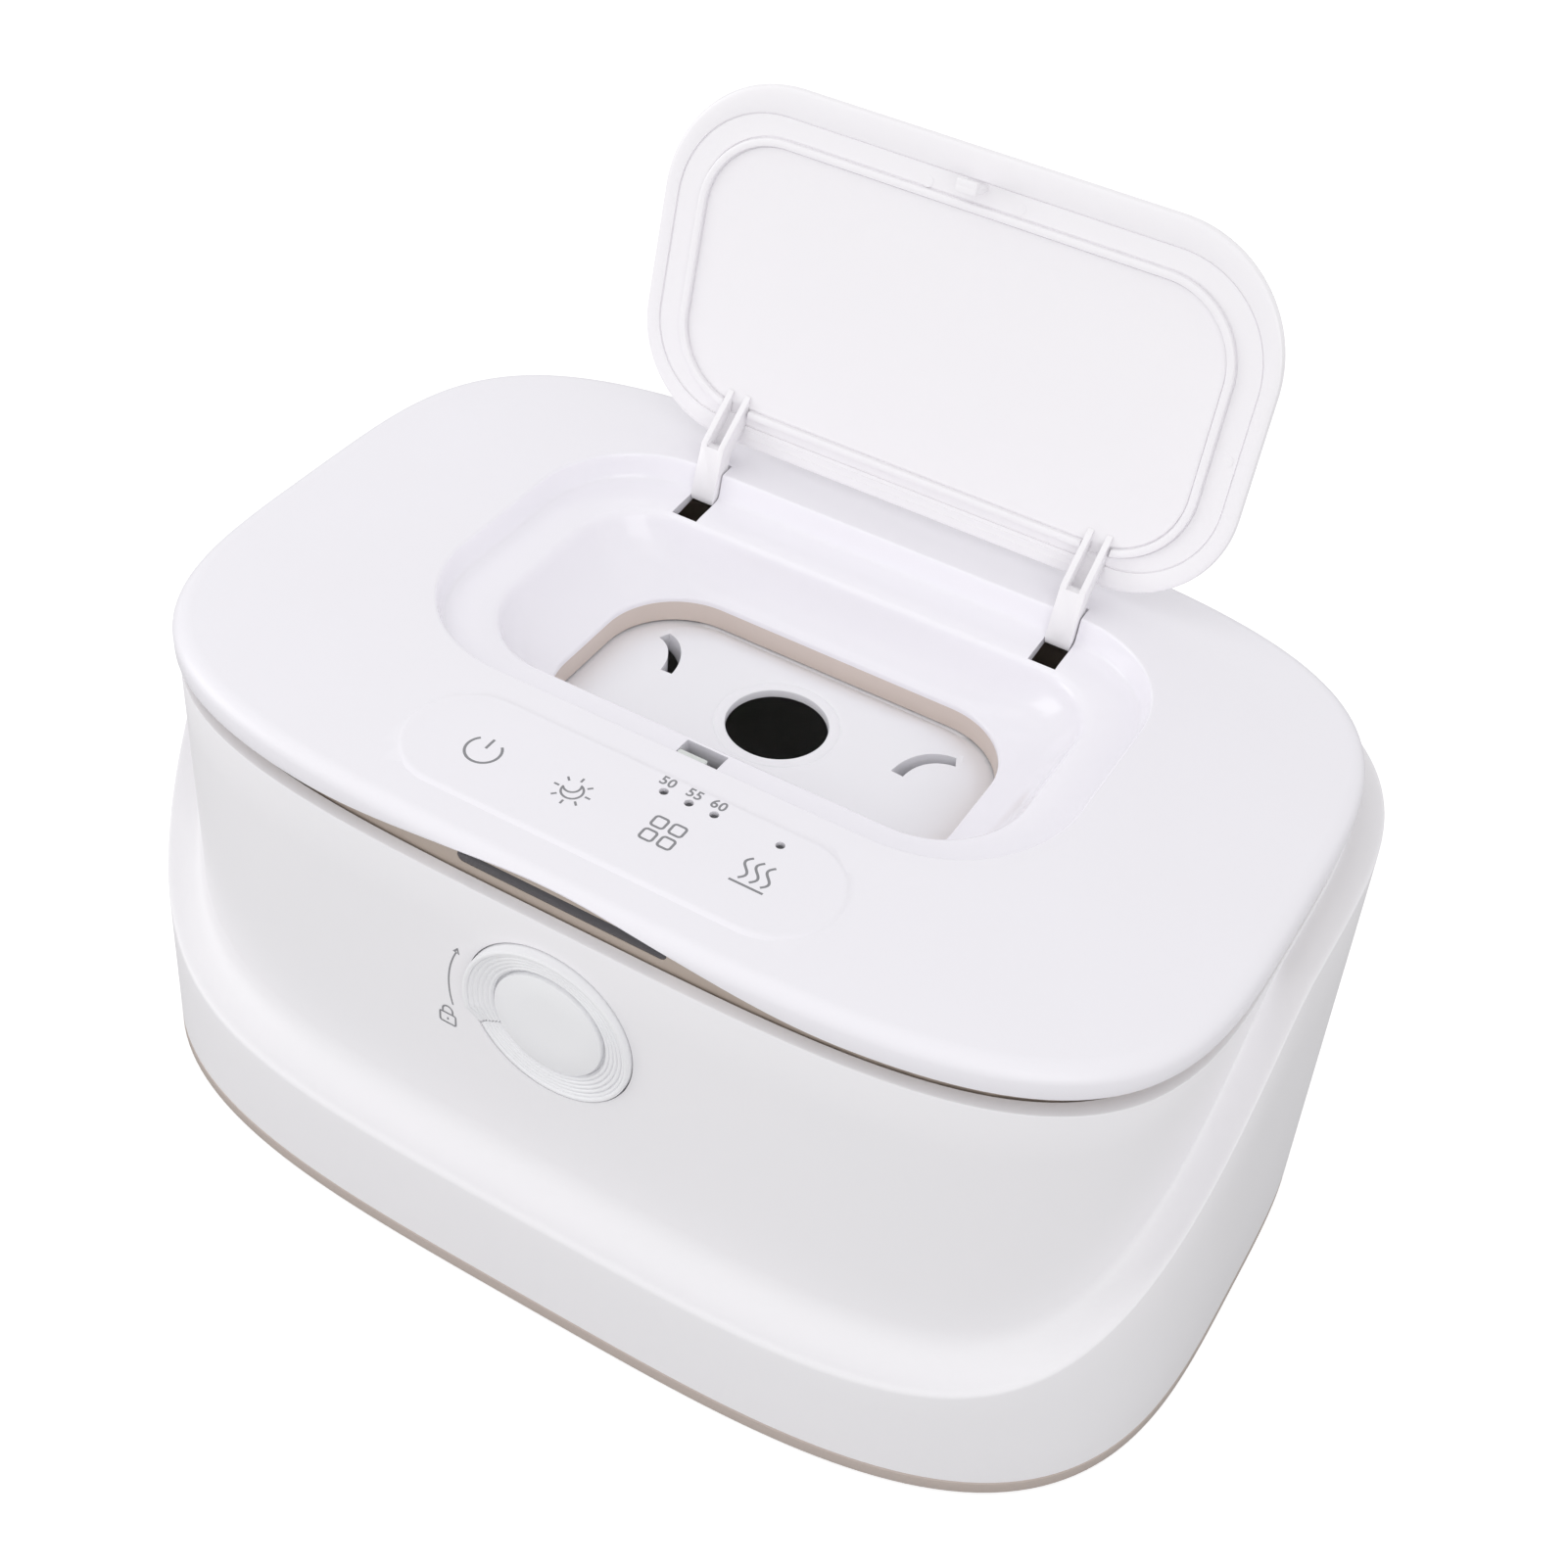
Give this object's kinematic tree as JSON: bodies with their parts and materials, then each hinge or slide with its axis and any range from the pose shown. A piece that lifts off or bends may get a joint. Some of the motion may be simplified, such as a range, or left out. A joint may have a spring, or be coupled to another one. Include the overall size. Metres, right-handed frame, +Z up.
{
  "type": "baby wipe warmer",
  "caption": "Tabletop wipe warmer: flared moulded body, hinged lid with a pop-up dispensing flap, spiral lock knob, heated tank and a press plate over the wipes.",
  "frame": {"origin": "on the floor under the centre of the body's base outline", "axes": "+X to the right seen from the front, +Y to the back, +Z up; the knob and the finger gap face -Y"},
  "size_m": [0.242, 0.166, 0.1891],
  "materials": {
    "body_shell": "satin white moulded ABS",
    "lid_shell": "semi-gloss white moulded ABS",
    "flap_shell": "semi-gloss white moulded ABS",
    "taupe_plastic": "warm grey moulded plastic with a soft sheen",
    "knob_white": "gloss white moulded ABS",
    "inner_white": "plain moulded polypropylene",
    "acetal": "natural acetal, machined smooth by its mould",
    "clear_plastic": "clear polycarbonate",
    "smoke_window": "smoked translucent diffuser",
    "sponge": "damp black sponge mat",
    "aluminium_plate": "rolled aluminium sheet",
    "heater_film": "amber polyimide film",
    "insulation": "needled fibre felt",
    "sensor_black": "black epoxy bead",
    "ceramic": "plain ceramic",
    "circuit_board": "green solder mask",
    "pad_grey": "grey conductive foam",
    "jack_black": "black moulded nylon",
    "foot_rubber": "dark grey rubber",
    "seal_rubber": "translucent white silicone",
    "pin_steel": "drawn stainless pin",
    "screw_steel": "zinc plated steel"
  },
  "bodies": {
    "base": {"base_plate": "taupe_plastic", "foot_front_left": "foot_rubber", "foot_front_right": "foot_rubber", "foot_rear_left": "foot_rubber", "foot_rear_right": "foot_rubber", "base_screws": "screw_steel", "lower_housing": "body_shell", "latch_guide": "inner_white", "guide_screws": "screw_steel", "inner_tank": "inner_white", "moisture_mat": "sponge", "heater_plate": "aluminium_plate", "heater_film": "heater_film", "insulation_pad": "insulation", "ntc_sensor": "sensor_black", "thermal_fuse": "ceramic", "main_board": "circuit_board", "dc_jack": "jack_black", "lid_hinge_pin_left": "pin_steel", "lid_hinge_pin_right": "pin_steel"},
    "knob": {"knob_ring": "knob_white", "knob_cap": "knob_white", "latch_pinion": "acetal"},
    "latch": {"latch_slider": "acetal"},
    "press": {"press_plate": "knob_white"},
    "lid": {"lid_cover": "lid_shell", "lid_liner": "taupe_plastic", "lid_seal": "seal_rubber", "lid_screws": "screw_steel", "touch_board": "circuit_board", "touch_pads": "pad_grey", "light_pipes": "clear_plastic", "night_light_window": "smoke_window", "night_light_board": "circuit_board", "flap_pin_left": "pin_steel", "flap_pin_right": "pin_steel", "flap_bracket_left": "inner_white", "flap_bracket_right": "inner_white"},
    "flap": {"flap": "flap_shell", "flap_bead": "flap_shell", "flap_arm_left": "flap_shell", "flap_arm_right": "flap_shell"},
    "catch": {"flap_catch": "clear_plastic"}
  },
  "joints": [
    {"name": "lid_hinge", "type": "hinge", "parent": "base", "child": "lid", "pos_m": [0, 0.0697, 0.1032], "axis": [-1, 0, 0], "range_deg": [0, 80]},
    {"name": "flap_hinge", "type": "hinge", "parent": "lid", "child": "flap", "pos_m": [0, 0.05305, 0.109], "axis": [1, 0, 0], "range_deg": [0, 103]},
    {"name": "knob_turn", "type": "hinge", "parent": "base", "child": "knob", "pos_m": [0, -0.07, 0.076], "axis": [0, 1, 0], "range_deg": [0, 45]},
    {"name": "latch_slide", "type": "slide", "parent": "base", "child": "latch", "axis": [1, 0, 0], "range_m": [0, 0.00628]},
    {"name": "catch_slide", "type": "slide", "parent": "lid", "child": "catch", "axis": [0, 1, 0], "range_m": [0, 0.0013]},
    {"name": "press_drop", "type": "slide", "parent": "base", "child": "press", "axis": [0, 0, 1], "range_m": [-0.052, 0]}
  ],
  "couplings": [
    {"joint": "knob_turn", "follows": "latch_slide", "rad_per_m": 125}
  ]
}
